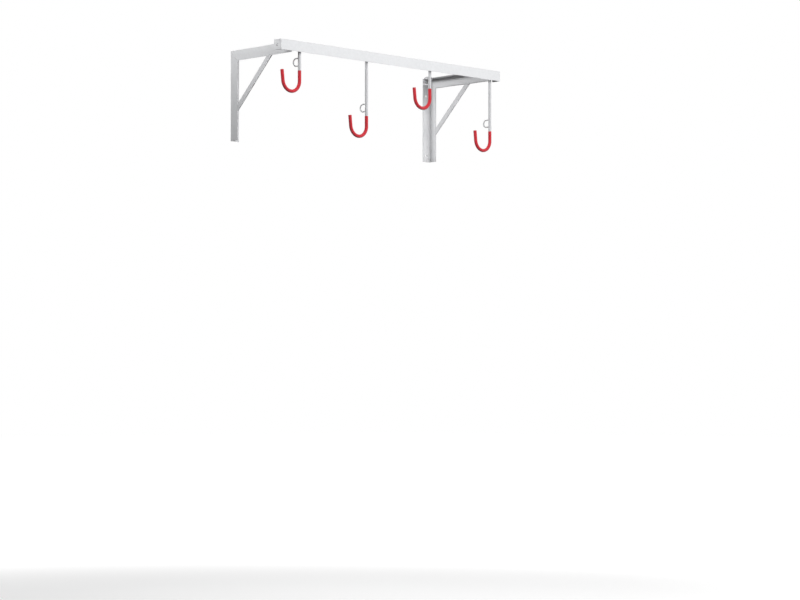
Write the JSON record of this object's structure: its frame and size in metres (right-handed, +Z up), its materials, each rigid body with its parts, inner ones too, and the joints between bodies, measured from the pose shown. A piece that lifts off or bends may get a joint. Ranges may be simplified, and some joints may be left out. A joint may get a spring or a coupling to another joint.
{
  "type": "wall-mounted bike rack",
  "caption": "Wall-mounted steel angle rack on two braced brackets, with staggered J-shaped hooks in plastic sleeves that hang bicycles by one wheel.",
  "frame": {"origin": "middle of the four wall holes, on the wall face", "axes": "+X to the right along the rail as seen from the front, +Y towards the wall, +Z up"},
  "size_m": [1.2, 0.35, 0.3544],
  "materials": {
    "galvanised_steel": "hot-dip galvanised, pale grey with a faint mottle",
    "bright_bar": "zinc-plated round bar, satin",
    "red_plastic": "smooth red plastic sleeve, semi-gloss",
    "zinc_plated_fasteners": "bright zinc plate"
  },
  "bodies": {
    "root": {"rail": "galvanised_steel", "rail_end_plate_left": "galvanised_steel", "rail_end_plate_right": "galvanised_steel", "left_upright": "galvanised_steel", "left_arm": "galvanised_steel", "left_brace": "galvanised_steel", "right_upright": "galvanised_steel", "right_arm": "galvanised_steel", "right_brace": "galvanised_steel", "hook_1_rod": "bright_bar", "hook_2_rod": "bright_bar", "hook_3_rod": "bright_bar", "hook_4_rod": "bright_bar", "hook_1_sleeve": "red_plastic", "hook_2_sleeve": "red_plastic", "hook_3_sleeve": "red_plastic", "hook_4_sleeve": "red_plastic", "hook_1_lock_eye": "bright_bar", "hook_2_lock_eye": "bright_bar", "hook_3_lock_eye": "bright_bar", "hook_4_lock_eye": "bright_bar", "bracket_bolts": "zinc_plated_fasteners", "bracket_washers": "zinc_plated_fasteners", "bracket_nuts": "zinc_plated_fasteners"}
  },
  "joints": []
}
